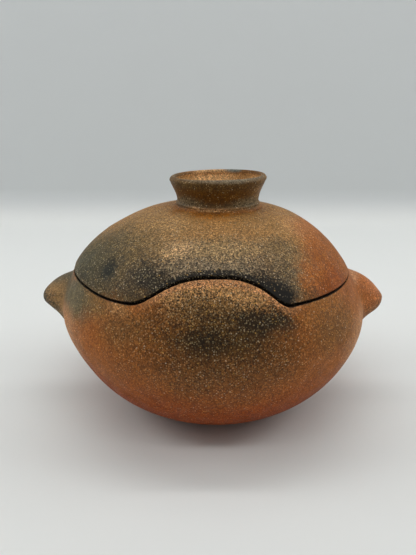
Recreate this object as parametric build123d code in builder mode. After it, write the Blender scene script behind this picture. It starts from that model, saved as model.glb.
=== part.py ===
"""Lidded stoneware bean pot: a closed thrown form cut in two along a wavy seam,
with a hollow collar knob on the lid and two lugs on the bowl.

Frame: millimetres, +Z up, origin at the centre of the flat base, +X towards the right
lug and -Y towards the front, where the seam rises in an arch.
"""

import os
from math import cos, radians, sin, sqrt, tan

from build123d import *

os.makedirs("parts", exist_ok=True)

# ---- thrown form -----------------------------------------------------------------
belly_radius = 120.0  # widest, outside
belly_height = 79.0  # height of the widest ring above the base
foot_radius = 57.0  # outer form carried down to the base plane
crown_height = 163.5  # outside of the dome on the axis
foot_slope = 62.0  # lean of the wall at the foot, degrees from upright
foot_softening = 8.0  # rounding of the base's edge
wall = 6.0
floor_thickness = 7.5

# ---- seam between bowl and lid ----------------------------------------------------
seam_height = 112.0  # outer edge of the seam away from the arch
arch_rise = 19.0  # height of the front arch above the rest of the seam
arch_half_width = 52.0  # from its top to where it would meet the level seam, laid flat
arch_fullness = 2.5  # 2 gives a parabola; more makes a flatter top and steeper flanks
arch_softness = 1.8  # how softly the arch runs out into the level seam
arch_bearing = 0.0  # turn of the arch from straight ahead, degrees towards +X
seam_clearance = 0.4  # upright gap between rim and lid
seam_step = 4  # degrees between the seam's points

# ---- knob --------------------------------------------------------------------------
knob_offset = 2.4  # the knob stands this far towards +X of the lid's axis
knob_rise = 21.0  # top of the rim above the crown
knob_rim_radius = 37.3
knob_waist_radius = 31.8
knob_waist_rise = 3.5  # the waist above the crown
knob_foot_spread = 0.6  # the foot stands out this far past the waist
knob_rim_lean = 24.0  # flare of the collar at its rim, degrees from upright
knob_lip = 4.8  # thickness of the rim, rounded over
knob_wall = 6.0  # thickness at the foot

# ---- lugs --------------------------------------------------------------------------
lug_drop = 27.0  # the lugs' axis below the seam
lug_reach = 19.5  # how far a lug stands out past the belly
lug_breadth = 1.2  # a lug is this much wider than it is tall
lug_root_radius = 25.0  # half height inside the wall, where the lug starts
lug_root_inset = 20.0  # that place, in from the belly
lug_taper = 17.0  # how steeply the lug narrows there, in degrees
lug_neck_radius = 15.7
lug_neck_reach = 5.0  # the neck, out from the belly
left_nose_radius = 8.8
left_nose_reach = 14.3
right_nose_radius = 9.8  # the right lug ends blunter than the left
right_nose_reach = 15.5

# ---- outlines shared by the pieces --------------------------------------------------
# The form's outline from foot to crown. Below the belly: shares of the way from the foot
# out to the belly, and of the belly's height. Above it: shares of the belly's radius, and
# of the way from the belly up to the crown.
lower_shape = [(0.340, 0.152), (0.686, 0.405), (0.935, 0.759)]
upper_shape = [(0.935, 0.296), (0.828, 0.556), (0.644, 0.769), (0.461, 0.899), (0.212, 0.970)]
inner_stations = 14  # points of the cavity's outline, evenly spread along the wall
floor_corner = 14.0  # rounding inside, where the wall leaves the floor
overcut = 3.0  # the seam's surface runs past both faces of the wall


def form_stations():
    """Radius and height of the form's outline, foot to crown."""
    stations = [(foot_radius, 0)]
    for out, up in lower_shape:
        radius = foot_radius + out * (belly_radius - foot_radius)
        stations.append((radius, up * belly_height))
    stations.append((belly_radius, belly_height))
    for out, up in upper_shape:
        height = belly_height + up * (crown_height - belly_height)
        stations.append((out * belly_radius, height))
    stations.append((0, crown_height))
    return stations


# The closed form as it was thrown, solid.
with BuildPart() as form:
    with BuildSketch(Plane.XZ):
        with BuildLine():
            foot_tangent = (sin(radians(foot_slope)), cos(radians(foot_slope)))
            outline = Spline(*form_stations(), tangents=(foot_tangent, (-1, 0)))
            Polyline((0, crown_height), (0, 0), (foot_radius, 0))
        make_face()
    revolve(axis=Axis.Z)
    fillet(form.edges().group_by(Axis.Z)[0], radius=foot_softening)


def inside_point(share):
    """Point one wall inside the outline, at a share of its length."""
    place = outline @ share
    along = outline % share
    return (place.X - wall * along.Y, place.Y + wall * along.X)


# The space inside it, one wall in, with a flat floor.
with BuildPart() as cavity:
    with BuildSketch(Plane.XZ):
        with BuildLine():
            inner = [inside_point(i / inner_stations) for i in range(inner_stations + 1)]
            Spline(*inner, tangents=(foot_tangent, (-1, 0)))
            Polyline(inner[-1], (0, inner[0][1]), inner[0])
        make_face()
    revolve(axis=Axis.Z)
    split(bisect_by=Plane.XY.offset(floor_thickness), keep=Keep.TOP)
    fillet(cavity.edges().group_by(Axis.Z)[0], radius=floor_corner)

with BuildPart() as vessel:
    add(form.part)
    add(cavity.part, mode=Mode.SUBTRACT)


def outline_at(height):
    """Place and direction of the form's outline at a height, found by halving."""
    low, high = 0.0, 1.0
    while high - low > 1e-9:
        middle = (low + high) / 2
        if outline.position_at(middle, PositionMode.PARAMETER).Y < height:
            low = middle
        else:
            high = middle
    return (
        outline.position_at(low, PositionMode.PARAMETER),
        outline.tangent_at(low, PositionMode.PARAMETER),
    )


seam_radius = outline_at(seam_height)[0].X


def seam_point(bearing, reach, shift):
    """Point of the seam's surface: a bearing from the front, and how far it lies outside
    the form, measured square to the wall. shift moves the whole seam up."""
    turn = (bearing - arch_bearing + 180) % 360 - 180
    share = abs(radians(turn)) * seam_radius / arch_half_width
    arch = arch_rise * (1 - share**arch_fullness)
    rise = (arch + sqrt(arch**2 + 4 * arch_softness**2)) / 2
    place, direction = outline_at(seam_height + rise + shift)
    radius = place.X + reach * direction.Y
    height = place.Y - reach * direction.X
    return (radius * sin(radians(bearing)), -radius * cos(radians(bearing)), height)


def seam_surface(shift):
    """The wavy cut right through the wall, closed all round from +X back to +X."""
    steps = 360 // seam_step
    bearings = [90 + i * seam_step for i in range(steps)]
    knots = [i / steps for i in range(steps + 1)]
    edges = [
        Edge.make_spline(
            [seam_point(b, reach, shift) for b in bearings], periodic=True, parameters=knots
        )
        for reach in (overcut, -wall - overcut)
    ]
    return Face.make_surface_from_curves(*edges)


def cut_vessel(shift):
    """The vessel's two pieces, lower one first, cut apart by the seam's surface."""
    seam = seam_surface(shift)
    pieces = split(vessel.part, bisect_by=seam, keep=Keep.ALL, mode=Mode.PRIVATE)
    return pieces.solids().sort_by(Axis.Z)


# ---- bowl: everything below the seam -------------------------------------------------
with BuildPart() as bowl:
    add(cut_vessel(-seam_clearance / 2)[0])

# ---- lid: everything above it ----------------------------------------------------------
with BuildPart() as lid:
    add(cut_vessel(seam_clearance / 2)[-1])

# ---- knob: a thrown collar, open upwards, that stands on the crown --------------------
knob_axis = Axis((knob_offset, 0, 0), (0, 0, 1))
knob_plane = Plane(origin=(knob_offset, 0, crown_height), x_dir=(1, 0, 0), z_dir=(0, -1, 0))
knob_foot = -wall / 2  # the ring is drawn from inside the wall, which then cuts it
collar_stations = 4  # stretches between the points of the collar's inside
half_lip = knob_lip / 2
rim_lean = radians(knob_rim_lean)
rim_edge = (
    knob_rim_radius - half_lip * (1 - cos(rim_lean)),
    knob_rise - half_lip * (1 + sin(rim_lean)),
)


def collar_inside(outside, station):
    """Point inside the collar, whose wall thins from foot (0) to rim (the last one)."""
    share = station / collar_stations
    place = outside @ share
    along = outside % share
    thickness = knob_wall + (knob_lip - knob_wall) * share
    return (place.X - thickness * along.Y, place.Y + thickness * along.X)


with BuildPart() as lid_knob:
    with BuildSketch(knob_plane):
        with BuildLine():
            outside = Spline(
                (knob_waist_radius + knob_foot_spread, knob_foot),
                (knob_waist_radius, knob_waist_rise),
                rim_edge,
                tangents=((0, 1), (sin(rim_lean), cos(rim_lean))),
            )
            rim_to_foot = range(collar_stations, -1, -1)
            inside = Spline(*[collar_inside(outside, i) for i in rim_to_foot])
            TangentArc(outside @ 1, inside @ 0, tangent=outside % 1)
            Line(inside @ 1, outside @ 0)
        make_face()
    revolve(axis=knob_axis)
    add(form.part, mode=Mode.SUBTRACT)


# ---- lugs: rounded noses of clay, pressed on to the bowl --------------------------------
lug_height = seam_height - lug_drop


def lug(side, nose_radius, nose_reach):
    """A lug towards +X (side 1) or -X (side -1), cut to the wall it stands on."""
    with BuildPart() as piece:
        with BuildSketch(Plane.XZ):
            with BuildLine():
                root = (side * (belly_radius - lug_root_inset), lug_height)
                tip = (side * (belly_radius + lug_reach), lug_height)
                upper = Spline(
                    (root[0], lug_height + lug_root_radius),
                    (side * (belly_radius + lug_neck_reach), lug_height + lug_neck_radius),
                    (side * (belly_radius + nose_reach), lug_height + nose_radius),
                    tip,
                    tangents=((side, -tan(radians(lug_taper))), (0, -1)),
                )
                Polyline(tip, root, upper @ 0)
            make_face()
        revolve(axis=Axis((0, 0, lug_height), (1, 0, 0)))
        scale(by=(1, lug_breadth, 1))
        add(form.part, mode=Mode.SUBTRACT)
    return piece


left_lug = lug(-1, left_nose_radius, left_nose_reach)
right_lug = lug(1, right_nose_radius, right_nose_reach)

# ---- the pieces ----------------------------------------------------------------------
bowl.part.label = "bowl"
left_lug.part.label = "left_lug"
right_lug.part.label = "right_lug"
lid.part.label = "lid"
lid_knob.part.label = "lid_knob"

export_step(bowl.part, "parts/bowl.step")
export_step(left_lug.part, "parts/left_lug.step")
export_step(right_lug.part, "parts/right_lug.step")
export_step(lid.part, "parts/lid.step")
export_step(lid_knob.part, "parts/lid_knob.step")
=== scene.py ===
"""Looks of the lidded bean pot: burnished, smoke-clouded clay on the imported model's frame.

Lengths are millimetres until a mesh, light or camera is made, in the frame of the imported
model: origin at the middle of the base, +Z up, +X towards the right lug, -Y to the front.
A bearing is an angle about +Z, measured from the front towards +X.
"""

from math import cos, pi, radians, sin

import bpy
import numpy as np
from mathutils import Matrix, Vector


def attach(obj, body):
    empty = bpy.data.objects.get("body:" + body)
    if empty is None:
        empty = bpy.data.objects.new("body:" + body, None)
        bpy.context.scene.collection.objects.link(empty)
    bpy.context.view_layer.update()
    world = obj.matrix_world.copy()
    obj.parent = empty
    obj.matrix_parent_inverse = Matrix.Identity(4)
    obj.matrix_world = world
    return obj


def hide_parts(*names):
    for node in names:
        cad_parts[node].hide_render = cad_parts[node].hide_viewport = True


MM = 0.001

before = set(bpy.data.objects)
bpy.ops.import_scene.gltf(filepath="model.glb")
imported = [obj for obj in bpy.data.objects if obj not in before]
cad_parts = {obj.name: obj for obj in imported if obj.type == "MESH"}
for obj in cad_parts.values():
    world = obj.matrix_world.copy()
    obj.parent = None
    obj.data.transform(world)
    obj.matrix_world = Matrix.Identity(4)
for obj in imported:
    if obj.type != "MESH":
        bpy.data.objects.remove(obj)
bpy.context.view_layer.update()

# ---- the thrown form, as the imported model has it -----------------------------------
wall = 6.0
crown_height = 163.5
foot_radius = 57.0
foot_slope = radians(62)
stations = [  # radius and height of the outside, foot to crown
    (foot_radius, 0), (78.4, 12), (100.2, 32), (115.9, 60), (120, 79), (112.2, 104),
    (99.3, 126), (77.3, 144), (55.3, 155), (25.4, 161), (0, crown_height),
]
form_steps = 200  # points of the finished outline between two stations
floor_height = 7.5
floor_corner = 2.2  # how softly the wall inside runs out into the floor
foot_edge = 2.0  # where the base's rounded edge starts, in from the foot radius

# ---- the seam between bowl and lid ----------------------------------------------------
seam_height = 112.0
arch_rise = 19.0
arch_half_width = 52.0
arch_fullness, right_fullness = 2.5, 0.3  # the right flank is steeper than the left
arch_softness, right_softness = 2.2, -0.4  # and meets the level seam more sharply
flank_change = 22.0  # how far from the arch's top the left values give way to the right ones
seam_bumps = [  # where the seam runs off its plain line: bearing, reach, rise
    (-72, 11, 1.7), (-57, 12, 1.4), (-22.5, 5, -1.6), (10, 7, 0.5), (24.5, 3.8, -2.4),
    (36, 14, 0.2),
]
seam_clearance = 0.4
bowl_lip, lid_lip, inner_lip = 0.9, 0.8, 1.5  # how far the edges are rounded over
lip_start = 0.1  # the rounding's first row, as an angle past the plain wall
lip_bare = (0.3, 1.4)  # between these angles the burnished skin gives way to bare clay
mouth_opening = 1.0  # each edge draws back this far more outside, at the front
mouth_depth = 3.2  # how far into the wall the edge has come back to the seam
mouth_beside = 0.6  # share of the opening that is left beside the arch
mouth_ends = (-0.2, 0.35)  # it opens between bearings with these cosines
arch_sides = (0.82, 0.9)  # and grows to all of it between these
mouth_right = 0.45  # added to the first two on the right, where it closes sooner
edge_reach = 14.0  # how far from the seam the clay may be coloured by it

# ---- marks of the throwing and turning ------------------------------------------------
ridge_height, ridge_spacing = 0.22, 7.5  # inside, along the wall
ridge_start = (5, 25)  # they rise between these lengths from the foot
ridge_fade = 0.06  # and fade towards the seam over this share of the wall's length
crown_calm = (20, 45)  # the crown's underside is plain inside these radii
base_recess, recess_radii = 0.5, (50, 30)  # the base's hollow deepens between these radii
turning_height, turning_pitch = 0.12, 1.9  # turning marks in it; radians per millimetre
foot_ring = 48  # no mark or hollow outside this radius, where the pot stands
base_radii = (0, 6, 14, 22, 30, 38, 45, 50, foot_radius - foot_edge - 1.5)
floor_mark, floor_pitch = 0.15, 0.9  # the same for marks on the floor inside
floor_rise = 12.0  # the wall's soft foot runs out over this much of the floor

# ---- how fine the meshes are ------------------------------------------------------------
columns, knob_columns, lug_columns = 384, 256, 144
lip_rows = 7
foot_rows, bowl_rows, bowl_inside_rows, floor_rows = 5, 96, 72, 16
lid_rows, lid_inside_rows = 84, 66
lug_rows = 72


def smooth(low, high, value):
    """0 below low, 1 above high, with a soft step between."""
    t = np.clip((value - low) / (high - low), 0, 1)
    return t * t * (3 - 2 * t)


def curve_through(points, first=None, last=None, steps=60):
    """A smooth curve through points, spaced by chord length, with end directions."""
    p = np.array(points, float)
    gap = np.linalg.norm(np.diff(p, axis=0), axis=1)
    count = len(p)
    left, right = np.zeros((count, count)), np.zeros_like(p)
    for i in range(1, count - 1):
        left[i, i - 1:i + 2] = gap[i], 2 * (gap[i - 1] + gap[i]), gap[i - 1]
        right[i] = 3 * (gap[i] / gap[i - 1] * (p[i] - p[i - 1])
                        + gap[i - 1] / gap[i] * (p[i + 1] - p[i]))
    for i, other, direction in ((0, 1, first), (count - 1, count - 2, last)):
        if direction is None:
            left[i, i], left[i, other] = 2, 1
            right[i] = 3 * (p[max(i, other)] - p[min(i, other)]) / gap[min(i, other)]
        else:
            left[i, i] = 1
            right[i] = direction
    slope = np.linalg.solve(left, right)
    t = np.linspace(0, 1, steps, endpoint=False)[:, None]
    parts = [
        (2 * t**3 - 3 * t**2 + 1) * p[i] + (t**3 - 2 * t**2 + t) * gap[i] * slope[i]
        + (3 * t**2 - 2 * t**3) * p[i + 1] + (t**3 - t**2) * gap[i] * slope[i + 1]
        for i in range(count - 1)
    ]
    return np.vstack([*parts, p[-1:]])


def lengths(curve):
    """Length along a curve at each of its points."""
    return np.concatenate([[0], np.cumsum(np.linalg.norm(np.diff(curve, axis=0), axis=1))])


form = curve_through(stations, (sin(foot_slope), cos(foot_slope)), (-1, 0), form_steps)
form_length = lengths(form)
form_along = np.gradient(form, form_length, axis=0)
crown_length = form_length[-1]


def form_at(length, reach):
    """Radius and height of the form at a length from the foot, reach outside it."""
    radius, height, out, up = (
        np.interp(length, form_length, values)
        for values in (form[:, 0], form[:, 1], form_along[:, 0], form_along[:, 1])
    )
    return radius + reach * up, height - reach * out


def seam_length(bearing):
    """Where the seam is, as a length from the foot."""
    turn = (bearing + pi) % (2 * pi) - pi
    seam_radius = np.interp(seam_height, form[:, 1], form[:, 0])
    rightwards = np.tanh(turn * seam_radius / flank_change)
    share = np.abs(turn) * seam_radius / arch_half_width
    arch = arch_rise * (1 - share ** (arch_fullness + right_fullness * rightwards))
    softness = arch_softness + right_softness * rightwards
    rise = (arch + np.sqrt(arch**2 + 4 * softness**2)) / 2
    for middle, reach, bump in seam_bumps:
        rise = rise + bump * np.exp(-((turn - radians(middle)) / radians(reach)) ** 2)
    return np.interp(seam_height + rise, form[:, 1], form_length)


# ---- the whole pot's unevenness, shared by every piece ---------------------------------
lean_heights = [0, 45, 60, 76, 90, 105, 112, 117, 122, 127, 135, 140, 146, 152, 157, 162, 200]
left_shifts = [
    2.5, 2.3, 1.3, 0.1, -0.5, -1.2, -1.9, -2.9, -2.5, -1.9, -1.5, -1.6, -0.5, 0.3, 0.8, 1.5, 1.7,
]
right_shifts = [
    2.3, 2.2, 2.0, 1.0, 0.2, -0.6, -0.7, -0.8, -1.3, -1.3, -0.6, 0.5, 1.7, 2.6, 2.9, 1.5, 1.7,
]
side_blend = 50.0  # the left and right shifts blend this far either side of the middle
lean_end = (114, 130)  # past the belly, out on the lugs, the lean ends
dents = [  # lobes round the pot, height of a radian's twist, start, depth
    (2, 55, 0.6, 0.25), (3, -35, 0, 0.15), (5, 21, 2, 0.1),
]
dent_depth = 0.003  # of the radius, where it is deepest
dent_start = (2, 12)  # the base stays round up to here


def uneven(points):
    """Leans the pot as it was thrown, and takes it a hair out of round, inwards."""
    x, y, z = points[:, 0], points[:, 1], points[:, 2]
    bearing = np.arctan2(x, -y)
    dent = 0.5
    for lobes, twist, start, depth in dents:
        dent = dent + depth * np.sin(lobes * bearing + z / twist + start)
    squeeze = 1 - dent_depth * dent * smooth(*dent_start, z)
    side = smooth(-side_blend, side_blend, x)
    lean = np.interp(z, lean_heights, left_shifts) * (1 - side)
    lean = lean + np.interp(z, lean_heights, right_shifts) * side
    lean = lean * (1 - smooth(*lean_end, np.abs(x)))
    return np.stack([x * squeeze + lean, y * squeeze, z], axis=1)


# ---- building meshes --------------------------------------------------------------------
def ring(bearing, radius, height):
    """One row of points round the axis."""
    radius, height = np.broadcast_arrays(radius, height, bearing)[:2]
    return np.stack([radius * np.sin(bearing), -radius * np.cos(bearing), height], axis=1)


def strip(low, high, count):
    """Faces between two rings of count points, from the numbers of their first points."""
    here = np.arange(count)
    after = np.roll(here, -1)
    quads = np.stack([low + here, low + after, high + after, high + here], axis=1)
    return [tuple(quad) for quad in quads.tolist()]


def fan(tip, first, count):
    """Faces from the point tip to a ring of count points."""
    return [(tip, first + i, first + (i + 1) % count) for i in range(count)]


def flipped(faces):
    """The same faces, turned to look the other way."""
    return [(face[0], *face[:0:-1]) for face in faces]


def new_piece(name, points, faces, **values):
    """A smooth mesh object from points in millimetres, with named values at the points."""
    mesh = bpy.data.meshes.new(name)
    mesh.from_pydata((points * MM).tolist(), [], faces)
    for label, value in values.items():
        layer = mesh.attributes.new(label, "FLOAT", "POINT")
        spread = np.broadcast_to(np.asarray(value, np.float32), len(points))
        layer.data.foreach_set("value", np.ascontiguousarray(spread))
    mesh.shade_smooth()
    mesh.validate()
    piece = bpy.data.objects.new(name, mesh)
    bpy.context.scene.collection.objects.link(piece)
    return piece


def point_values(rows, count):
    """Values at a skin's points, from one value or one ring of values per row."""
    middle = [np.broadcast_to(row, count) for row in rows[1:-1]]
    return np.concatenate([[np.mean(rows[0])], *middle, [np.mean(rows[-1])]])


class Rows:
    """Rows of points gathered for one skin, with what each row is like.

    raw says how far a row is unburnished clay, edge how near it is to the seam.
    """

    def __init__(self, bearing):
        self.bearing, self.points, self.raw, self.edge = bearing, [], [], []

    def add(self, radius, height, raw=0.0, edge=0.0):
        self.points.append(ring(self.bearing, radius, height))
        self.raw.append(raw)
        self.edge.append(edge)

    def reverse(self):
        for rows in (self.points, self.raw, self.edge):
            rows.reverse()

    def skin(self, name):
        """A piece from the rows, the first and last drawn together to a point."""
        count = len(self.bearing)
        ends = uneven(np.stack([self.points[0].mean(0), self.points[-1].mean(0)]))
        middle = uneven(np.vstack(self.points[1:-1]))
        points = np.vstack([ends[:1], middle, ends[1:]])
        top = len(points) - 1
        last = top - count
        faces = flipped(fan(0, 1, count))
        for low in range(1, last, count):
            faces += strip(low, low + count, count)
        faces += fan(top, last, count)
        return new_piece(name, points, faces, raw=point_values(self.raw, count),
                         edge=point_values(self.edge, count))


def round_bearings(count):
    return np.arange(count) * 2 * pi / count


# ---- bowl and lid -----------------------------------------------------------------------
def throwing_rings(length, bearing):
    """Low ridges that fingers leave inside, one wall in."""
    ridges = ridge_height * np.sin(2 * pi * length / ridge_spacing + bearing)
    return ridges * smooth(*ridge_start, length)


def seam_edge(rows, away, lip):
    """Rows across the wall at the seam: rounded lip, land and inner lip.

    away is -1 for the bowl, whose wall lies below the seam, and 1 for the lid.
    """
    seam = seam_length(rows.bearing) + away * seam_clearance / 2
    sooner = mouth_right * smooth(0, 1, np.sin(rows.bearing))
    facing = np.cos(rows.bearing)
    none, full = mouth_ends
    open_here = smooth(sooner + none, sooner + full, facing)
    open_here = open_here * (mouth_beside + (1 - mouth_beside) * smooth(*arch_sides, facing))
    start = seam + away * mouth_opening * open_here
    for angle in np.linspace(lip_start, pi / 2, lip_rows):
        rows.add(*form_at(start + away * lip * (1 - sin(angle)), -lip * (1 - cos(angle))),
                 raw=smooth(*lip_bare, angle), edge=1.0)
    for share in (0.35, 0.7, 1.0):
        place = start + (seam - start) * share
        rows.add(*form_at(place, -lip - (mouth_depth - lip) * share), raw=1.0, edge=1.0)
    for angle in np.linspace(0, pi / 2, lip_rows):
        rows.add(*form_at(seam + away * inner_lip * (1 - cos(angle)),
                          inner_lip * (1 - sin(angle)) - wall), raw=1.0, edge=1.0)
    return seam + away * inner_lip


def add_base(rows):
    """Rows of the base: its shallow hollow, the flat ring and the rounded edge."""
    for radius in base_radii:
        hollow = base_recess * smooth(*recess_radii, radius)
        hollow = hollow + turning_height * sin(radius * turning_pitch)
        rows.add(radius, max(hollow, 0) if radius < foot_ring else 0, raw=1.0)
    turn = pi / 2 - foot_slope
    softening = foot_edge / np.tan(turn / 2)
    for angle in np.linspace(0, turn, foot_rows):
        rows.add(foot_radius - foot_edge + softening * sin(angle),
                 softening * (1 - cos(angle)), raw=smooth(turn, 0, angle))


def add_bowl_inside(rows, inner):
    """Rows down the bowl's inside and in over its floor, from the lengths in inner."""
    for share in np.linspace(1, 0, bowl_inside_rows)[1:]:
        length = inner * share
        radius, height = form_at(length, -wall)
        ripple = throwing_rings(length, rows.bearing) * smooth(0, ridge_fade, 1 - share)
        above = height - floor_height
        height = floor_height + (above + np.sqrt(above**2 + 4 * floor_corner**2)) / 2
        rows.add(radius + ripple, height, raw=1.0)
    low_radius, low_height = radius.mean(), height.mean()
    for radius in np.linspace(low_radius, 0, floor_rows)[1:]:
        above = (low_height - floor_height) * smooth(low_radius - floor_rise, low_radius, radius)
        mark = floor_mark * sin(radius * floor_pitch)
        rows.add(radius, floor_height + above + mark, raw=1.0)


def make_bowl():
    """The bowl's skin, from the middle of its base round to the middle of its floor."""
    rows = Rows(round_bearings(columns))
    add_base(rows)
    start = seam_length(rows.bearing) - (seam_clearance / 2 + mouth_opening + bowl_lip)
    for share in np.linspace(0, 1, bowl_rows)[1:]:
        length = foot_edge + (start - foot_edge) * share
        rows.add(*form_at(length, 0), edge=smooth(edge_reach, 0, start - length))
    add_bowl_inside(rows, seam_edge(rows, -1, bowl_lip))
    return rows.skin("bowl_shell")


def make_lid():
    """The lid's skin, from the top of the dome round its edge to the dome's underside."""
    rows = Rows(round_bearings(columns))
    start = seam_length(rows.bearing) + (seam_clearance / 2 + mouth_opening + lid_lip)
    for share in np.linspace(1, 0, lid_rows):
        length = start + (crown_length - start) * share
        rows.add(*form_at(length, 0), edge=smooth(edge_reach, 0, length - start))
    inner = seam_edge(rows, 1, lid_lip)
    for share in np.linspace(0, 1, lid_inside_rows)[1:]:
        length = inner + (crown_length - inner) * share
        radius, height = form_at(length, -wall)
        ripple = throwing_rings(length, rows.bearing) * smooth(0, ridge_fade, share)
        rows.add(np.maximum(radius, 0), height + ripple * smooth(*crown_calm, radius), raw=1.0)
    rows.reverse()  # in this order the faces would look inwards
    return rows.skin("lid_shell")


# ---- knob ------------------------------------------------------------------------------
knob_offset = 2.4
knob_top = 184.5
# the rim sits this much lower on the axis, less towards +X and more towards the back
knob_tilt = (0.9, -0.9, 0.6)
tilt_radius = 37.0  # those last two are at this distance from the axis
tilt_heights = (163, 178)  # the tilt starts above the foot and is full at the flare
least_drop = 0.1  # and the drop is nowhere less than this
knob_outside = [  # radius, height: the foot's bead, the waist and the flare to the rim
    (34.4, 159.6), (33.4, 160.7), (32.7, 161.4), (32.4, 162.0), (32.7, 162.6), (32.5, 163.3),
    (32.0, 163.9), (31.8, 166.0), (32.6, 170.0), (34.4, 174.8), (36.1, 178.6), (37.0, 180.6),
]
knob_inside = [  # and from the rim down inside
    (33.0, 180.6), (31.6, 177.4), (28.6, 171.0), (26.6, 165.5), (24.4, 162.2), (22, 160.5),
]
knob_lip = [  # over the rim, between the two
    knob_outside[-1], (37.5, 181.8), (37.0, 183.3), (35.5, knob_top), (34.0, 184.3),
    (33.1, 183.0), knob_inside[0],
]


def tilted(points):
    """The knob's points, with its rim tilted."""
    lower, rightwards, backwards = knob_tilt
    x, y, z = points[:, 0] - knob_offset, points[:, 1], points[:, 2]
    drop = lower + (rightwards * x + backwards * y) / tilt_radius
    height = z - np.maximum(drop, least_drop) * smooth(*tilt_heights, z)
    return np.stack([points[:, 0], y, height], axis=1)


def make_knob():
    """The collar knob, a ring that stands a little way in the dome."""
    outside = curve_through(knob_outside, steps=6)[:-1]
    lip = curve_through(knob_lip, steps=4)[:-1]
    inside = curve_through(knob_inside, steps=6)
    profile = np.vstack([outside, lip, inside])
    raw = np.concatenate([np.zeros(len(outside)), smooth(0.85, 1.0, np.linspace(0, 1, len(lip))),
                          np.ones(len(inside))])
    bearing = round_bearings(knob_columns)
    rows = [ring(bearing, r, z) + np.array([knob_offset, 0, 0]) for r, z in profile]
    faces = []
    for i in range(len(rows)):
        faces += strip(i * knob_columns, (i + 1) % len(rows) * knob_columns, knob_columns)
    return new_piece("knob_collar", tilted(uneven(np.vstack(rows))), faces,
                     edge=0, raw=np.repeat(raw, knob_columns))


# ---- lugs ------------------------------------------------------------------------------
lug_height = 85.0
lug_tip = 139.5
lug_blend = 3.0  # how softly a lug runs out on the wall
lug_sink = 0.5  # its thin edge ends this far inside the wall
row_crowding = 1.15  # its rows stand closer together towards the tip
# Reach along X and distance from the lug's axis, from tip to root: above, below, beside.
left_lug_lines = (
    [(lug_tip, 0), (138.6, 3.6), (134.4, 8.8), (128.2, 13.8), (118.6, 18), (108, 20.5),
     (97, 22)],
    [(lug_tip, 0), (138.2, 4.6), (134.6, 7.3), (126.9, 12.6), (122.8, 16.6), (120, 21),
     (110, 26), (97, 29)],
    [(lug_tip, 0), (138, 6), (134, 11), (127.5, 16), (120, 19.5), (110, 22.5), (96, 26)],
)
right_lug_lines = (
    [(lug_tip, 0), (137.6, 3.6), (133.4, 8.8), (127.8, 13.8), (118.8, 19), (109, 21.6),
     (97, 23)],
    [(lug_tip, 0), (138.8, 6.8), (136.4, 10), (129.3, 15.1), (123.8, 19), (119, 23),
     (110, 27), (97, 30)],
    [(lug_tip, 0), (138.8, 6), (136, 11), (129, 16.5), (120, 20), (110, 23), (96, 26)],
)


def line_points(line):
    """A lug's line at the lengths of its rows, starting square at the tip."""
    curve = curve_through(line, (0, 1))
    length = lengths(curve)
    place = np.linspace(0, 1, lug_rows) ** row_crowding * length[-1]
    return np.stack([np.interp(place, length, curve[:, i]) for i in (0, 1)], axis=1)


def lug_row(side, above, below, beside):
    """One row round a lug from its three lines, pushed softly out of the wall."""
    angle = round_bearings(lug_columns)
    reach, upright = np.where(np.sin(angle) > 0, above[:, None], below[:, None])
    weight = np.sin(angle) ** 2
    x = reach * weight + beside[0] * (1 - weight)
    y = beside[1] * np.cos(angle)
    z = lug_height + upright * np.sin(angle)
    radius = np.hypot(x, y)
    limit = np.interp(z, form[:, 1], form[:, 0])
    out = radius - limit
    eased = (out + np.sqrt(out**2 + 4 * lug_blend**2)) / 2
    push = (limit + eased - lug_sink) / radius
    return np.stack([side * x * push, -side * y * push, z], axis=1)


def make_lug(name, side, lines):
    """A lug, drawn out of the wall: lines above, below and beside, blended round its axis."""
    rows = [lug_row(side, *places) for places in zip(*(line_points(line) for line in lines))]
    tip = rows[0].mean(0)
    points = uneven(np.vstack([tip[None], *rows[1:]]))
    faces = fan(0, 1, lug_columns)
    for low in range(1, len(points) - lug_columns, lug_columns):
        faces += flipped(strip(low, low + lug_columns, lug_columns))
    return new_piece(name, points, faces, raw=0, edge=0)


bowl = make_bowl()
lid = make_lid()
knob = make_knob()
left_lug = make_lug("left_lug_form", -1, left_lug_lines)
right_lug = make_lug("right_lug_form", 1, right_lug_lines)

# ---- clay ------------------------------------------------------------------------------
# Colours, sRGB, 0 to 255: most as the clay looks in even light, some painted light and shade
# where they are used.
TERRACOTTA = (159, 91, 31)
RED_ORANGE = (142, 60, 0)
DEEP_ORANGE = (139, 67, 0)
ORANGE = (154, 86, 18)
PALE_ORANGE = (184, 130, 82)
LUG_ORANGE = (181, 109, 58)
PAINTED_SHEEN_PALE = (196, 156, 122)
RIM_ORANGE = (190, 133, 84)
OCHRE = (148, 92, 32)
BURNT_OCHRE = (150, 88, 6)
TAN = (154, 112, 60)
OCHRE_TAN = (152, 114, 64)
OCHRE_OLIVE = (122, 92, 46)
SAND_TAN = (176, 138, 88)
SAND_GOLD = (182, 135, 82)
LIGHT_TAN = (142, 117, 78)
PAINTED_HIGHLIGHT_PINK = (194, 156, 108)
WARM_BROWN = (124, 84, 38)
RUST_BROWN = (104, 64, 24)
BROWN = (106, 67, 27)
DARK_BROWN = (80, 53, 14)
BROWN_SOOT = (50, 33, 8)
GOLD_BROWN = (119, 86, 45)
OLIVE = (94, 78, 46)
DEEP_OLIVE = (72, 66, 40)
LIGHT_OLIVE = (119, 95, 58)
SMOKE_OLIVE = (84, 72, 52)
GREEN_GREY = (96, 87, 58)
LUG_BROWN = (148, 114, 70)
LUG_SHADE = (117, 76, 34)
LUG_GREEN = (84, 82, 60)
LUG_SMOKE = (70, 66, 48)
LUG_SOOT = (50, 46, 34)
ASH_GREY = (116, 101, 78)
SLATE = (30, 31, 18)
SOOT = (42, 34, 18)
# black: soot in the lid's clouds, and painted shade in the seam's gap and along the lid's edge
SOOT_AND_SHADE_BLACK = (18, 13, 5)
STEEL = (108, 114, 106)
KNOB_BROWN = (100, 62, 4)
KNOB_OCHRE = (150, 112, 62)
KNOB_GREY = (112, 99, 72)
RIM_GREY = (124, 110, 86)
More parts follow.
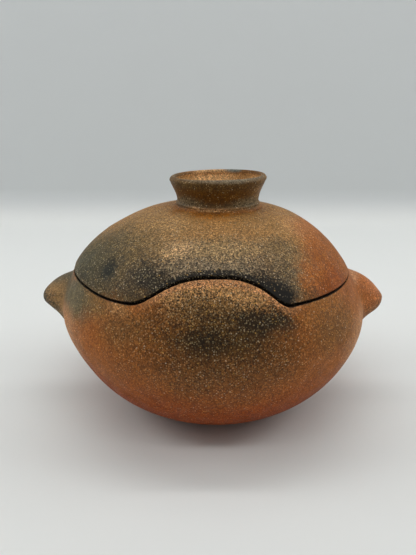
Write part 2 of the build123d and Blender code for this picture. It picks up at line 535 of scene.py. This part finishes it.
SMOKE_BROWN = (92, 78, 46)
KNOB_INSIDE = (196, 152, 98)
FOOT_ORANGE = (200, 154, 102)
PAINTED_LIGHT_ORANGE = (222, 178, 124)
RAW_CLAY = (120, 78, 48)
CREAM = (228, 208, 174)
MICA_GLINT_GOLD = (214, 166, 74)

# ---- grain -------------------------------------------------------------------------------
# Sizes are millimetres; a grain's radius is a share of the cell that it lies in.
COARSE_GRAIN, FINE_GRAIN = 0.9, 0.6
FINE_SHARE = 0.8  # how strong the fine grain's tone is beside the coarse one's
GRAIN_MIDDLE = 0.6  # what both of them add up to, on average
GRAIN_DEPTH = (0.9, 0.58)  # depth of the tone: what grit adds, and on smooth clay
GRIT_SHADE = -0.16  # gritty clay is this much darker, which leaves room for its pale grains
DARKEST_GRAIN = 0.15
SAND_CELL, SAND_RADIUS = 1.25, 0.46
SAND_PRESENCE = (0.9, 0.05)  # share of cells with a pale grain: what grit adds, and the least
SAND_STRENGTH = (0.75, 0.25)  # how much of it shows: what chance adds, and the least
SAND_LIFT = 1.5  # a pale grain has the clay's own colour this many times,
SAND_GAIN = (0.28, 0.225, 0.122)  # and this of its own on top, linear
MICA_CELL, MICA_RADIUS = 1.7, 0.36
MICA_PRESENCE = 0.55  # share of cells with a fleck, where the clay is all grit
MICA_STRENGTH = (0.6, 0.1)
MOTTLE_SIZE, MOTTLE_RANGE = 20, (0.9, 1.1)  # slow change of tone all over
CLOUD_DRIFTS = ((34, 3, 22), (6, 2, 5))  # noise size, its detail, how far it moves an edge
GRAIN_DRIFT = 5  # and how far single grains do
# how strong the bands along the seam are: the rim bands, and the painted shade in the seam's gap
RIM_STRENGTH, GAP_SHADE_STRENGTH = 0.9, 0.97
ROUGHNESS, RAW_ROUGHNESS, ROUGHNESS_SIZE = (0.55, 0.68), 0.85, 9
GLOSS = 0.25
RELIEF_DEPTH, RELIEF_STRENGTH, FINE_RELIEF = 0.06, 0.5, 0.4

# Smoke clouds of the firing, and some painted highlight, reflection and shade: middle x, y, z and
# reach along each, in millimetres; how far its even core goes, as a share of its reach;
# strength; colour; how gritty it is.
LID_CLOUDS = [
    (3, 0, 160, 56, 56, 11, 0.2, 0.8, OCHRE, 0.3),
    (0, -21, 163, 46, 25, 9, 0.5, 1.0, BURNT_OCHRE, 0.2),
    (44, -38, 155, 34, 40, 14, 0.1, 0.5, OCHRE_TAN, 0.25),
    (-68, -58, 130, 78, 78, 54, 0.15, 0.95, OLIVE, 0.55),
    (-92, -30, 124, 54, 64, 34, 0.15, 1.0, DEEP_OLIVE, 0.4),
    (-52, -18, 155, 34, 40, 18, 0.1, 0.6, OCHRE_TAN, 0.3),
    (-34, -46, 154, 32, 36, 14, 0.1, 0.4, SAND_TAN, 0.45),
    (6, -76, 145, 66, 24, 13, 0.2, 0.85, LIGHT_TAN, 0.75),
    # painted highlight: a pinkish spot of sheen on the front of the dome
    (-21, -73, 145, 20, 18, 10, 0.1, 0.95, PAINTED_HIGHLIGHT_PINK, 0.75),
    (50, -72, 138, 24, 32, 20, 0.3, 0.85, LIGHT_OLIVE, 0.55),
    (2, -88, 136, 74, 20, 11, 0.25, 0.9, ASH_GREY, 0.9),
    (0, -95, 131, 56, 12, 8, 0.2, 0.8, SOOT, 0.8),
    (-56, -86, 116, 30, 20, 12, 0.2, 0.35, SOOT, 0.6),
    (-71, -66, 131, 18, 18, 14, 0.1, 0.85, SLATE, 0.4),
    (-70, -67, 130, 11, 11, 10, 0.3, 1.0, SLATE, 0.15),
    (-60, -80, 120, 36, 28, 15, 0.2, 0.33, SLATE, 0.6),
    (-88, -56, 118, 22, 26, 14, 0.2, 0.5, SLATE, 0.4),
    (-53, -89, 116, 13, 12, 8, 0.2, 0.4, SLATE, 0.5),
    (-65, -82, 112, 22, 15, 7.5, 0.3, 0.9, OCHRE, 0.4),
    (-84, -66, 111, 18, 18, 6, 0.3, 0.6, OCHRE, 0.4),
    (-42, -88, 130, 24, 24, 15, 0.3, 0.95, SOOT, 0.85),
    (-30, -95, 126, 30, 16, 11, 0.3, 0.85, SOOT, 0.8),
    (33, -86, 132, 20, 18, 9, 0.2, 0.3, SOOT, 0.8),
    (38, -93, 123, 24, 22, 13, 0.35, 1.0, SOOT, 0.75),
    (112, -28, 128, 64, 118, 56, 0.72, 1.0, ORANGE, 0.2),
    (86, -62, 116, 44, 40, 16, 0.3, 0.8, DEEP_ORANGE, 0.1),
    (64, -26, 150, 30, 34, 16, 0.2, 0.35, PALE_ORANGE, 0.25),
    (50, -82, 123, 14, 20, 16, 0.3, 0.7, SMOKE_OLIVE, 0.75),
    (68, -72, 126, 17, 24, 17, 0.35, 0.75, ORANGE, 0.3),
    (63, -88, 112, 20, 20, 12, 0.3, 0.85, RUST_BROWN, 0.4),
    (32, -95, 125, 16, 14, 9.5, 0.4, 1.0, SOOT_AND_SHADE_BLACK, 0.15),
    (42, -95, 120, 16, 15, 10, 0.45, 1.0, SOOT_AND_SHADE_BLACK, 0.15),
    (64, 48, 146, 52, 50, 26, 0.3, 0.85, SLATE, 0.4),
    (-40, 86, 132, 60, 34, 26, 0.3, 0.9, BROWN, 0.5),
    (-12, 92, 128, 30, 18, 12, 0.2, 0.9, SOOT, 0.6),
]
BOWL_CLOUDS = [
    (0, 0, 16, 240, 240, 66, 0.4, 0.95, RED_ORANGE, 0.2),
    # painted reflection: the lower left and right of the belly made paler, for warm light thrown
    # up from the floor
    (-112, -44, 70, 32, 56, 44, 0.25, 0.85, PALE_ORANGE, 0.15),
    (112, -50, 66, 32, 56, 38, 0.25, 0.85, PALE_ORANGE, 0.15),
    (84, -78, 92, 44, 44, 28, 0.2, 0.8, WARM_BROWN, 0.3),
    (76, -84, 108, 40, 40, 14, 0.2, 0.8, OCHRE, 0.25),
    (-56, -98, 100, 44, 30, 20, 0.2, 0.8, WARM_BROWN, 0.35),
    (4, -112, 86, 92, 50, 48, 0.15, 0.95, BROWN, 0.65),
    (-84, -76, 110, 24, 28, 14, 0.3, 0.85, OCHRE_OLIVE, 0.3),
    (-63, -90, 111.5, 15, 14, 7.5, 0.2, 0.65, SAND_GOLD, 0.5),
    (-100, -52, 102, 36, 44, 21, 0.35, 0.95, GREEN_GREY, 0.3),
    (-116, -14, 100, 20, 44, 20, 0.4, 0.9, GREEN_GREY, 0.2),
    (5, -106, 117, 62, 22, 19, 0.35, 0.95, GOLD_BROWN, 1.0),
    (0, -100, 126.5, 44, 14, 7.5, 0.3, 0.7, SAND_GOLD, 1.0),
    (26, -99, 121.5, 22, 13, 9.5, 0.2, 0.8, SAND_GOLD, 0.9),
    (-27, -99, 121.5, 16, 14, 9, 0.2, 0.75, SAND_GOLD, 0.9),
    (8, -114, 101, 62, 34, 21, 0.15, 0.95, DARK_BROWN, 0.8),
    (-6, -116, 95, 28, 22, 13, 0.2, 0.9, BROWN_SOOT, 0.7),
    (34, -105, 106.5, 28, 20, 12, 0.35, 1.0, BROWN_SOOT, 0.7),
    (10, 112, 88, 80, 40, 44, 0.1, 0.85, BROWN, 0.5),
    (24, 112, 96, 46, 30, 22, 0.2, 0.9, BROWN_SOOT, 0.6),
    (-84, 76, 78, 40, 44, 30, 0.2, 0.8, OLIVE, 0.3),
]
LUG_CLOUDS = [
    (-128, 0, 88, 26, 36, 30, 0.6, 0.95, LUG_BROWN, 0.15),
    (-128, 0, 107, 36, 40, 15, 0.3, 0.95, LUG_SMOKE, 0.2),
    (-143, -2, 88, 14, 30, 22, 0.4, 0.9, LUG_SMOKE, 0.2),
    (-132, -6, 70, 28, 32, 19, 0.3, 1.0, LUG_GREEN, 0.2),
    (-133, -5, 79, 16, 30, 14, 0.35, 0.9, LUG_SOOT, 0.3),
    (134, 0, 87, 28, 34, 28, 0.5, 0.95, LUG_ORANGE, 0.1),
    (136, -4, 74, 26, 36, 17, 0.3, 0.95, LUG_SHADE, 0.2),
    # painted sheen: a pale spot where the right lug's root meets the wall, for light glancing off
    # the wall
    (112, -4, 105, 9, 30, 9, 0.3, 0.35, PAINTED_SHEEN_PALE, 0.1),
]
KNOB_CLOUDS = [
    (40, -6, 170, 20, 40, 22, 0.3, 0.7, KNOB_OCHRE, 0.3),
    (-38, -6, 170, 16, 34, 16, 0.3, 0.6, KNOB_OCHRE, 0.3),
    (-24, -24, 166, 24, 24, 7, 0.2, 0.7, KNOB_GREY, 0.5),
    (26, -22, 166, 22, 22, 7, 0.2, 0.7, KNOB_GREY, 0.5),
    (0, 0, 165, 80, 80, 4, 0.1, 0.45, KNOB_GREY, 0.5),
    (-4, -14, 180, 60, 46, 7, 0.2, 0.6, SMOKE_BROWN, 0.4),
    (8, -24, 187.5, 52, 48, 7.5, 0.5, 1.0, RIM_GREY, 0.25),
    (0, 0, 158.5, 80, 80, 4.0, 0.6, 0.9, OCHRE, 0.3),
    # painted highlight: the thin light line along the bead at the knob's foot
    (2, -32, 162.4, 36, 22, 1.7, 0.2, 0.8, FOOT_ORANGE, 0.6),
]
KNOB_PATCH = [
    (-32, 6, 182, 14, 24, 8, 0.2, 0.4, KNOB_GREY, 0.2),
    # painted light: the inside of the knob's back wall made brighter
    (0, 34, 178, 28, 14, 14, 0.3, 0.65, PAINTED_LIGHT_ORANGE, 0.45),
    (-12, 30, 184, 26, 16, 8, 0.3, 0.4, FOOT_ORANGE, 0.35),
    # painted shade: the inside of the knob's left wall made darker
    (-24, 20, 176, 14, 20, 12, 0.3, 0.4, WARM_BROWN, 0.35),
    (27, 26, 178, 18, 16, 12, 0.3, 0.55, WARM_BROWN, 0.3),
    (21, 34, 185, 15, 9, 6, 0.5, 0.9, STEEL, 0.1),
]


def linear(colour):
    """An sRGB colour, 0 to 255, as the shader wants it."""
    shares = np.array(colour) / 255
    values = np.where(shares <= 0.04045, shares / 12.92, ((shares + 0.055) / 1.055) ** 2.4)
    return (*values.tolist(), 1.0)


def put(tree, kind, sockets=(), **settings):
    """Adds a node: sockets are pairs of an input and a value, or an output to link."""
    node = tree.nodes.new(kind)
    for name, value in settings.items():
        setattr(node, name, value)
    for key, value in sockets:
        if isinstance(value, bpy.types.NodeSocket):
            tree.links.new(value, node.inputs[key])
        else:
            node.inputs[key].default_value = value
    return node


def maths(tree, operation, first, second, third=0.0):
    return put(tree, "ShaderNodeMath", [(0, first), (1, second), (2, third)],
               operation=operation).outputs[0]


def vectors(tree, operation, first, second):
    return put(tree, "ShaderNodeVectorMath", [(0, first), (1, second)],
               operation=operation).outputs[0]


def blend_colour(tree, share, first, second):
    return put(tree, "ShaderNodeMix", [(0, share), (6, first), (7, second)],
               data_type="RGBA").outputs[2]


def blend_number(tree, share, first, second):
    return put(tree, "ShaderNodeMix", [(0, share), (2, first), (3, second)],
               data_type="FLOAT").outputs[0]


def step(tree, value, low, high, to_low=0.0, to_high=1.0):
    return put(tree, "ShaderNodeMapRange",
               [("Value", value), ("From Min", low), ("From Max", high),
                ("To Min", to_low), ("To Max", to_high)],
               interpolation_type="SMOOTHSTEP").outputs[0]


def noise(tree, place, size, detail=2.0, roughness=0.5):
    """Noise whose features are about size millimetres across."""
    return put(tree, "ShaderNodeTexNoise",
               [("Vector", place), ("Scale", 1 / size), ("Detail", detail),
                ("Roughness", roughness)])


def cloud_group():
    """The share of one soft-edged cloud at a place."""
    tree = bpy.data.node_groups.new("cloud", "ShaderNodeTree")
    for name, kind in (("Place", "Vector"), ("Middle", "Vector"), ("Reach", "Vector"),
                       ("Core", "Float")):
        tree.interface.new_socket(name, in_out="INPUT", socket_type="NodeSocket" + kind)
    tree.interface.new_socket("Share", in_out="OUTPUT", socket_type="NodeSocketFloat")
    given = tree.nodes.new("NodeGroupInput")
    away = vectors(tree, "SUBTRACT", given.outputs["Place"], given.outputs["Middle"])
    away = vectors(tree, "DIVIDE", away, given.outputs["Reach"])
    distance = put(tree, "ShaderNodeVectorMath", [(0, away)], operation="LENGTH").outputs["Value"]
    share = put(tree, "ShaderNodeMapRange",
                [("Value", distance), ("From Min", 1.0), ("From Max", given.outputs["Core"])],
                interpolation_type="SMOOTHSTEP").outputs[0]
    put(tree, "NodeGroupOutput", [("Share", share)])
    return tree


cloud_tree = cloud_group()


def cloud(tree, place, middle, reach, core):
    return put(tree, "ShaderNodeGroup",
               [("Place", place), ("Middle", middle), ("Reach", reach), ("Core", core)],
               node_tree=cloud_tree).outputs["Share"]


def grains(tree, place, size):
    """Cells of a size: the distance from each one's middle, and its own random colour."""
    return put(tree, "ShaderNodeTexVoronoi", [("Vector", place), ("Scale", 1 / size)]).outputs


def flecks(tree, place, size, radius, presence):
    """Round grains in cells of a size: how much of each shows, and a chance per grain."""
    cells = grains(tree, place, size)
    disc = step(tree, cells["Distance"], radius, radius * 0.4)
    chance = put(tree, "ShaderNodeSeparateColor", [("Color", cells["Color"])])
    there = maths(tree, "LESS_THAN", chance.outputs[0], presence)
    return maths(tree, "MULTIPLY", disc, there), chance.outputs[1], chance.outputs[2]


def painted(tree, place, clouds, colour, sand):
    """Lays a list of clouds over a colour and over how gritty the clay is."""
    for x, y, z, reach_x, reach_y, reach_z, core, strength, paint, grit in clouds:
        share = cloud(tree, place, (x, y, z), (reach_x, reach_y, reach_z), core)
        share = maths(tree, "MULTIPLY", share, strength)
        colour = blend_colour(tree, share, colour, linear(paint))
        sand = blend_number(tree, share, sand, grit)
    return colour, sand


def wandering(tree, where, coarse, wander):
    """The place that clouds are laid at: bent, so that their edges stray and break up."""
    sources = [(noise(tree, where, size, detail).outputs["Color"], spread)
               for size, detail, spread in CLOUD_DRIFTS]
    place = where
    for source, spread in (*sources, (coarse, GRAIN_DRIFT)):
        drift = vectors(tree, "SUBTRACT", source, (0.5,) * 3)
        drift = vectors(tree, "MULTIPLY", drift, (spread * wander,) * 3)
        place = vectors(tree, "ADD", place, drift)
    return place


def rim_coloured(tree, where, edge, colour, rim):
    """Paints a band along the seam, inside a mask; the bands used here are partly painted
    highlight and shade.
    """
    paint, low, high, middle, reach = rim
    band = maths(tree, "MULTIPLY", step(tree, edge, low, high),
                 cloud(tree, where, middle, reach, 0.5))
    return blend_colour(tree, maths(tree, "MULTIPLY", band, RIM_STRENGTH), colour, linear(paint))


def bare(tree, raw, edge, colour, raw_colour):
    """Bare clay inside, painted near black where the halves meet: painted shade in the seam's
    gap.
    """
    gap_shade = maths(tree, "MULTIPLY", edge, GAP_SHADE_STRENGTH)
    gap_shade = blend_colour(tree, gap_shade, linear(raw_colour), linear(SOOT_AND_SHADE_BLACK))
    return blend_colour(tree, raw, colour, gap_shade)


def squared_chance(tree, cells):
    """A random number for each grain, mostly small."""
    chance = put(tree, "ShaderNodeSeparateColor", [("Color", cells)]).outputs[2]
    return maths(tree, "MULTIPLY", chance, chance)


def grain_toned(tree, colour, sand, own, small):
    """Makes each grain a little lighter or darker than the clay round it."""
    depth = maths(tree, "MULTIPLY_ADD", sand, *GRAIN_DEPTH)
    both = maths(tree, "ADD", own, maths(tree, "MULTIPLY", small, FINE_SHARE))
    both = maths(tree, "SUBTRACT", both, GRAIN_MIDDLE)
    plain = maths(tree, "MULTIPLY_ADD", sand, GRIT_SHADE, 1.0)
    tone = maths(tree, "MULTIPLY_ADD", both, depth, plain)
    return vectors(tree, "MULTIPLY", colour, maths(tree, "MAXIMUM", tone, DARKEST_GRAIN))


def sprinkled(tree, where, colour, sand, gold):
    """Lays pale grains of sand over the clay, then flecks of mica, the golden ones partly painted
    glint.
    """
    presence = maths(tree, "MULTIPLY_ADD", sand, *SAND_PRESENCE)
    grain, chance, _ = flecks(tree, where, SAND_CELL, SAND_RADIUS, presence)
    grain = maths(tree, "MULTIPLY", grain, maths(tree, "MULTIPLY_ADD", chance, *SAND_STRENGTH))
    sandy = vectors(tree, "ADD", vectors(tree, "MULTIPLY", colour, (SAND_LIFT,) * 3), SAND_GAIN)
    colour = blend_colour(tree, grain, colour, sandy)
    presence = maths(tree, "MULTIPLY", sand, MICA_PRESENCE)
    fleck, chance, kind = flecks(tree, where, MICA_CELL, MICA_RADIUS, presence)
    fleck = maths(tree, "MULTIPLY", fleck, maths(tree, "MULTIPLY_ADD", chance, *MICA_STRENGTH))
    # golden flecks: mica's own colour, with painted glint in it
    golden = step(tree, kind, 0.9 - gold, 1.1 - gold)
    mica = blend_colour(tree, golden, linear(CREAM), linear(MICA_GLINT_GOLD))
    return blend_colour(tree, fleck, colour, mica)


def clay_material(name, base, base_sand, clouds, gold, raw_colour=RAW_CLAY, rim=None, patch=(),
                  wander=1.0):
    """Burnished clay: smoke clouds, among them some painted light and shade, a sandy grain, pale
    flecks and a fine relief.

    gold is the share of golden flecks among the cream ones. rim paints a band along the seam,
    partly the clay's colour and partly painted highlight and shade: colour, the edge values it
    starts and is full at, and a mask's middle and reach. patch is laid over the bare clay as
    well. wander is how much the clouds' edges stray.
    """
    material = bpy.data.materials.new(name)
    material.use_nodes = True
    tree = material.node_tree
    shader = tree.nodes["Principled BSDF"]
    where = put(tree, "ShaderNodeTexCoord").outputs["Object"]
    where = vectors(tree, "MULTIPLY", where, (1 / MM,) * 3)
    edge = put(tree, "ShaderNodeAttribute", attribute_name="edge").outputs["Fac"]
    raw = put(tree, "ShaderNodeAttribute", attribute_name="raw").outputs["Fac"]
    coarse = grains(tree, where, COARSE_GRAIN)["Color"]
    own = squared_chance(tree, coarse)
    small = squared_chance(tree, grains(tree, where, FINE_GRAIN)["Color"])
    place = wandering(tree, where, coarse, wander)

    colour, sand = painted(tree, place, clouds, linear(base), base_sand)
    mottle = noise(tree, where, MOTTLE_SIZE, 3, 0.6).outputs["Fac"]
    colour = vectors(tree, "MULTIPLY", colour, step(tree, mottle, 0.3, 0.7, *MOTTLE_RANGE))
    if rim:
        colour = rim_coloured(tree, where, edge, colour, rim)
    colour = bare(tree, raw, edge, colour, raw_colour)
    colour, sand = painted(tree, place, patch, colour, sand)
    colour = grain_toned(tree, colour, sand, own, small)
    colour = sprinkled(tree, where, colour, sand, gold)
    tree.links.new(colour, shader.inputs["Base Color"])

    burnish = noise(tree, where, ROUGHNESS_SIZE, 2).outputs["Fac"]
    rough = blend_number(tree, raw, step(tree, burnish, 0.3, 0.7, *ROUGHNESS), RAW_ROUGHNESS)
    tree.links.new(rough, shader.inputs["Roughness"])
    shader.inputs["Specular IOR Level"].default_value = GLOSS
    relief = maths(tree, "ADD", maths(tree, "MULTIPLY", small, FINE_RELIEF), own)
    bump = put(tree, "ShaderNodeBump", [("Height", relief), ("Distance", RELIEF_DEPTH * MM),
                                        ("Strength", RELIEF_STRENGTH)])
    tree.links.new(bump.outputs["Normal"], shader.inputs["Normal"])
    return material


# the bowl's rim band: cleaner orange clay along the lip, with a painted highlight on it
bowl_clay = clay_material("clouded_bowl", TERRACOTTA, 0.1, BOWL_CLOUDS, 0.55,
                          rim=(RIM_ORANGE, 0.62, 0.95, (6, -104, 122), (70, 60, 30)))
# the lid's rim band: soot along the lid's edge, with painted shade on it
lid_clay = clay_material("clouded_lid", TAN, 0.35, LID_CLOUDS, 0.25,
                         rim=(SOOT_AND_SHADE_BLACK, 0.72, 0.95, (-2, -104, 126), (64, 60, 20)))
lug_clay = clay_material("clouded_lugs", TERRACOTTA, 0.1, BOWL_CLOUDS + LUG_CLOUDS, 0.4)
knob_clay = clay_material("clouded_knob", KNOB_BROWN, 0.15, KNOB_CLOUDS, 0.3,
                          raw_colour=KNOB_INSIDE, patch=KNOB_PATCH, wander=0.2)

for piece, node, body, slot, clay in (
    (bowl, "bowl", "bowl_body", "bowl_clay", bowl_clay),
    (left_lug, "left_lug", "bowl_body", "lug_clay", lug_clay),
    (right_lug, "right_lug", "bowl_body", "lug_clay", lug_clay),
    (lid, "lid", "lid_body", "lid_clay", lid_clay),
    (knob, "lid_knob", "lid_body", "knob_clay", knob_clay),
):
    piece.data.materials.append(clay)
    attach(piece, body)
    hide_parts(node)

# ---- floor, backdrop, lamps and camera ---------------------------------------------------
sweep_start, sweep_radius, wall_top = 600.0, 65.0, 1800.0
sheet_half_width, floor_front = 3000.0, -3000.0
sweep_fade = 50.0  # height over which the floor's paper turns into the wall's greyer one
FLOOR_PALE = (0.81, 0.83, 0.815, 1)
WALL_GREY = (0.657, 0.685, 0.69, 1)


def make_backdrop():
    """One sheet: floor, a wide cove behind the pot, and a wall."""
    profile = [(floor_front, 0), (-sweep_start, 0), (0, 0), (sweep_start, 0)]
    for angle in np.linspace(0, pi / 2, 25)[1:]:
        profile.append((sweep_start + sweep_radius * sin(angle), sweep_radius * (1 - cos(angle))))
    profile.append((sweep_start + sweep_radius, wall_top))
    sides = (-sheet_half_width, sheet_half_width)
    points = np.array([(x, y, z) for y, z in profile for x in sides])
    faces = [(2 * i, 2 * i + 1, 2 * i + 3, 2 * i + 2) for i in range(len(profile) - 1)]
    sheet = new_piece("backdrop", points, faces)
    material = bpy.data.materials.new("backdrop_paper")
    material.use_nodes = True
    tree = material.node_tree
    paper = tree.nodes["Principled BSDF"]
    height = put(tree, "ShaderNodeSeparateXYZ",
                 [(0, put(tree, "ShaderNodeTexCoord").outputs["Object"])]).outputs[2]
    share = step(tree, height, 0.0, sweep_fade * MM)
    tree.links.new(blend_colour(tree, share, FLOOR_PALE, WALL_GREY), paper.inputs["Base Color"])
    paper.inputs["Roughness"].default_value = 0.9
    paper.inputs["Specular IOR Level"].default_value = 0.1
    sheet.data.materials.append(material)


make_backdrop()

pot_middle = (0, 0, 60)
LAMPS = [  # name, place, what it shines at, width and depth, power
    ("overhead", (0, 620, 1500), (0, 400, 0), (1600, 1200), 6.0),
    ("middle_strip", (0, 120, 1250), pot_middle, (1600, 80), 3.3),
    ("front_strip", (0, -649, 1250), pot_middle, (1600, 80), 3.3),
    ("left_panel", (-1500, 100, 1000), pot_middle, (900, 900), 7.2),
    ("right_panel", (1500, 100, 1000), pot_middle, (900, 900), 7.2),
]
for name, place, target, size, power in LAMPS:
    data = bpy.data.lights.new(name, "AREA")
    data.shape = "RECTANGLE"
    data.size, data.size_y = size[0] * MM, size[1] * MM
    data.energy = power
    light = bpy.data.objects.new(name, data)
    light.location = Vector(place) * MM
    light.rotation_euler = (Vector(target) - Vector(place)).to_track_quat("-Z", "Y").to_euler()
    bpy.context.scene.collection.objects.link(light)

SKY_WARM, SKY_STRENGTH = (1, 0.98, 0.96, 1), 0.21
world = bpy.data.worlds.new("studio")
bpy.context.scene.world = world
world.use_nodes = True
sky = world.node_tree.nodes["Background"]
sky.inputs["Color"].default_value = SKY_WARM
sky.inputs["Strength"].default_value = SKY_STRENGTH

camera_place = (-3.7, -423.5, 241.5)
camera_pitch = 18.49  # degrees down from level
camera_lens = 35.35
camera_data = bpy.data.cameras.new("camera")
camera_data.lens = camera_lens
camera = bpy.data.objects.new("camera", camera_data)
camera.location = Vector(camera_place) * MM
camera.rotation_euler = (radians(90 - camera_pitch), 0, 0)
bpy.context.scene.collection.objects.link(camera)
bpy.context.scene.camera = camera
bpy.context.scene.view_settings.view_transform = "Standard"
